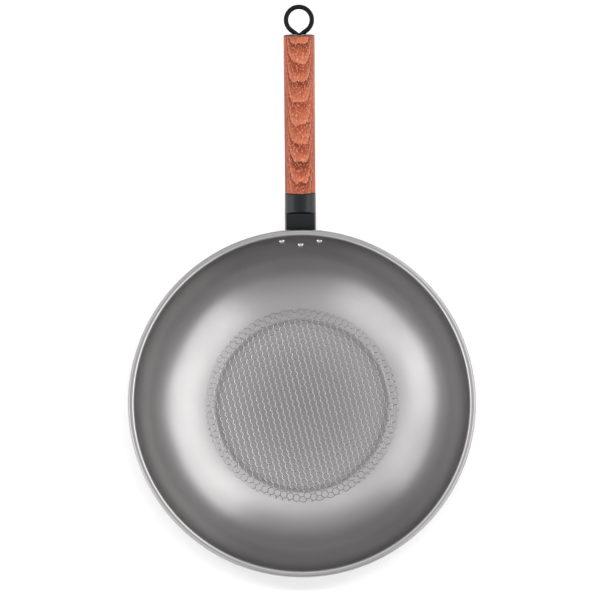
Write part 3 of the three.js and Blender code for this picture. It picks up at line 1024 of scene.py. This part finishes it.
head = [(r, RIVET_HEAD_BASE - z) for r, z in reversed(dome(*RIVET_HEAD))]
tail = [(r, RIVET_TAIL_BASE + z) for r, z in dome(*RIVET_TAIL)]
rivet_outline = tail + [(RIVET_SHANK, RIVET_TAIL_BASE), (RIVET_SHANK, RIVET_HEAD_BASE)] + head
one_rivet = add_object("one_rivet", turned(rivet_outline, RIVET_SEGMENTS, plain["polished_steel"]))
seats = [rivet_seat(side, slope) for side, slope in RIVET_SLOPES.items()]
rivet_points = bpy.data.meshes.new("rivet_points")
rivet_points.from_pydata([point for point, out in seats], [], [])
directions = rivet_points.attributes.new("out", "FLOAT_VECTOR", "POINT")
directions.data.foreach_set("vector", [part for point, out in seats for part in out])
rivets = grow(copies_on_points(), rivet_points, {"Copy": one_rivet, "Material": plain["polished_steel"]})
rivets.set_sharp_from_angle(angle=SHARP_EDGE)
bpy.data.objects.remove(one_rivet)
add_piece("rivets", rivets, "wok", "polished_steel", "rivet_left", "rivet_right", "rivet_middle")

# %% [markdown]
# ## The grip and the washer
#
# Both are turned about the handle's line. They are turned about Z first, then laid along the handle:
# the lathe's Z becomes the handle's +Y.

# %% The grip and the washer
FIT = 0.3
GRIP_INNER_RADIUS = 14.1
GRIP_OUTER_RADIUS = 14.4
GRIP_EDGE = 1.6
GRIP_EDGE_STEPS = 10
GRIP_CHAMFER = 0.4
GRIP_BORE_RADIUS = 3
SPIGOT_RADIUS = 11.2
SPIGOT_END = -6.7
WASHER_RADIUS = 6
WASHER_HOLE = 2.55
WASHER_BASE = 144.95
WASHER_THICKNESS = 0.7
WASHER_EDGE = 0.15
GRIP_SEGMENTS = 96
along_handle = handle_frame @ Matrix.Rotation(-math.pi / 2, 4, "X")


def grip_outline():
    """The grip with a rounded end, a seat for the washer, a bore and a spigot."""
    seat = WASHER_BASE - FIT / 2
    edge_centre = (GRIP_OUTER_RADIUS - GRIP_EDGE, GRIP_LENGTH - GRIP_EDGE)
    return [
        (GRIP_BORE_RADIUS, seat),
        (WASHER_RADIUS + FIT, seat),
        (WASHER_RADIUS + FIT, GRIP_LENGTH),
        *arc(edge_centre, GRIP_EDGE, 90, 0, GRIP_EDGE_STEPS),
        (GRIP_INNER_RADIUS, FIT + GRIP_CHAMFER),
        (GRIP_INNER_RADIUS - GRIP_CHAMFER, FIT),
        (SPIGOT_RADIUS, FIT),
        (SPIGOT_RADIUS, SPIGOT_END),
        (GRIP_BORE_RADIUS, SPIGOT_END),
    ]


def washer_outline():
    """A flat washer with a chamfer on its outer edge."""
    top = WASHER_BASE + WASHER_THICKNESS
    return [
        (WASHER_HOLE, top),
        (WASHER_RADIUS - WASHER_EDGE, top),
        (WASHER_RADIUS, top - WASHER_EDGE),
        (WASHER_RADIUS, WASHER_BASE),
        (WASHER_HOLE, WASHER_BASE),
    ]


for name, outline, material, body, slot, node in (
    ("grip", grip_outline(), wood, "wok", "varnished_wood", "wood_grip"),
    ("washer", washer_outline(), plain["zinc_plate"], "washer", "zinc_plate", "eye_washer"),
):
    mesh = turned(outline, GRIP_SEGMENTS, material, closed=True)
    mesh.transform(along_handle)
    add_piece(name, mesh, body, slot, node)

# %% [markdown]
# ## The hanging eye and its rod
#
# One black wire: a straight shank through the grip, bent at its outer end into a drop-shaped eye. The
# eye's legs come together at the washer, where they are flattened. A tree sweeps a round section along
# both paths, cuts the eye off flat just above the washer, and winds a thread on the inner end. The
# two legs overlap where they meet, so the cut also has to join them into one closed body.

# %% Sizes of the hanging eye and its rod
EYE_RADIUS = 11.85
EYE_CENTRE = 159.4
EYE_STEPS = 72
LEGS_MEET = 144.6
ROD_SIZES = {
    "Radius": 2.25 * MM,
    "Bearing": 146.1 * MM,
    "Shank Start": -16.5 * MM,
    "Shank End": 146.7 * MM,
    "Thread Pitch": 0.8 * MM,
    "Thread Length": 12 * MM,
}
ROD_SIDES = 24
CUTTING_BLOCK = (60 * MM, 20 * MM, 60 * MM)
THREAD_STEPS_PER_TURN = 20
THREAD_RIDGE_SIDES = 6
THREAD_RIDGE_PER_PITCH = 0.45
THREAD_SUNK_PER_PITCH = 0.2


def eye_path():
    """The eye in the handle's X-Y plane: right leg, loop, left leg."""
    lean = math.degrees(math.asin(EYE_RADIUS / (EYE_CENTRE - LEGS_MEET)))
    loop = arc((0, EYE_CENTRE), EYE_RADIUS, -lean, 180 + lean, EYE_STEPS)
    return [(x, y, 0) for x, y in [(0, LEGS_MEET), *loop, (0, LEGS_MEET)]]


print(f"eye {2 * EYE_RADIUS:.1f} mm across at the middle of its wire")

# %% [markdown]
# The tree has three parts, which are joined at its end: the eye, the shank and the thread.

# %% The hanging eye and its rod


def swept(tree, path, section):
    """A wire of this section along a path, closed at both ends."""
    wire = {"Curve": path, "Profile Curve": section, "Fill Caps": True}
    return output_of(tree, "GeometryNodeCurveToMesh", wire)


def cut_eye(tree, given, section):
    """The eye, cut off flat where it bears on the washer."""
    path = output_of(tree, "GeometryNodeMeshToCurve", {"Mesh": given["Geometry"]})
    block = output_of(tree, "GeometryNodeMeshCube", {"Size": combine(tree, *CUTTING_BLOCK)})
    block_middle = maths(tree, "SUBTRACT", given["Bearing"], CUTTING_BLOCK[1] / 2)
    shift = {"Geometry": block, "Translation": combine(tree, 0.0, block_middle)}
    placed = output_of(tree, "GeometryNodeTransform", shift)
    legs = {"Mesh 1": swept(tree, path, section), "Self Intersection": True}
    cut = add_node(tree, "GeometryNodeMeshBoolean", legs, operation="DIFFERENCE", solver="EXACT")
    tree.links.new(placed, cut.inputs["Mesh 2"])
    return cut.outputs[0]


def thread(tree, given, start):
    """A ridge that winds round the shank from its start."""
    pitch = given["Thread Pitch"]
    sunk = maths(tree, "MULTIPLY", pitch, THREAD_SUNK_PER_PITCH)
    radius = maths(tree, "SUBTRACT", given["Radius"], sunk)
    helix = {
        "Resolution": THREAD_STEPS_PER_TURN,
        "Rotations": maths(tree, "DIVIDE", given["Thread Length"], pitch),
        "Start Radius": radius,
        "End Radius": radius,
        "Height": given["Thread Length"],
    }
    spiral = output_of(tree, "GeometryNodeCurveSpiral", helix)
    quarter_turn = combine(tree, -math.pi / 2)
    laying = {"Geometry": spiral, "Translation": start, "Rotation": quarter_turn}
    laid = output_of(tree, "GeometryNodeTransform", laying)
    ridge_radius = maths(tree, "MULTIPLY", pitch, THREAD_RIDGE_PER_PITCH)
    ridge = {"Resolution": THREAD_RIDGE_SIDES, "Radius": ridge_radius}
    return swept(tree, laid, output_of(tree, "GeometryNodeCurvePrimitiveCircle", ridge))


def bent_wire():
    """A tree that makes the rod around the path of its eye."""
    sockets = dict.fromkeys(ROD_SIZES, "Float") | {"Sides": "Int", "Material": "Material"}
    tree, given = new_geometry_tree("bent_wire", sockets)
    round_section = {"Resolution": given["Sides"], "Radius": given["Radius"]}
    section = output_of(tree, "GeometryNodeCurvePrimitiveCircle", round_section)
    start = combine(tree, 0.0, given["Shank Start"])
    end = combine(tree, 0.0, given["Shank End"])
    straight = output_of(tree, "GeometryNodeCurvePrimitiveLine", {"Start": start, "End": end})
    eye = cut_eye(tree, given, section)
    whole = joined(tree, eye, swept(tree, straight, section), thread(tree, given, start))
    finish_tree(tree, whole, given["Material"])
    return tree


rod_inputs = ROD_SIZES | {"Sides": ROD_SIDES, "Material": plain["black_wire"]}
hanging_eye = grow(bent_wire(), line_mesh(eye_path()), rod_inputs)
hanging_eye.set_sharp_from_angle(angle=SHARP_EDGE)
hanging_eye.transform(handle_frame)
add_piece("hanging_eye", hanging_eye, "hanging_rod", "black_wire", "tie_rod")

# %% [markdown]
# ## The nut
#
# The rod screws into a nut behind the web of the bracket, which only shows from below. A bevelled copy
# of its CAD node has the small chamfers that catch the light on a real nut.

# %% The nut
NUT_BEVEL = 0.25 * MM
NUT_BEVEL_STEPS = 2


def bevelled_copy(node, width, steps, material):
    """A copy of a CAD node's mesh with its corners merged and its edges bevelled."""
    mesh = frame["nodes"][node].data.copy()
    shape = bmesh.new()
    shape.from_mesh(mesh)
    bmesh.ops.remove_doubles(shape, verts=shape.verts, dist=WELD)
    shape.to_mesh(mesh)
    shape.free()
    carrier = add_object("carrier", mesh)
    bevel = carrier.modifiers.new("chamfer", "BEVEL")
    bevel.width = width
    bevel.segments = steps
    bevel.limit_method = "ANGLE"
    bevel.angle_limit = SHARP_EDGE
    result = plain_mesh(carrier)
    result.materials.clear()
    result.materials.append(material)
    result.shade_smooth()
    result.set_sharp_from_angle(angle=SHARP_EDGE)
    return result


nut = bevelled_copy("tie_rod_nut", NUT_BEVEL, NUT_BEVEL_STEPS, plain["zinc_plate"])
add_piece("nut", nut, "wok", "zinc_plate", "tie_rod_nut")
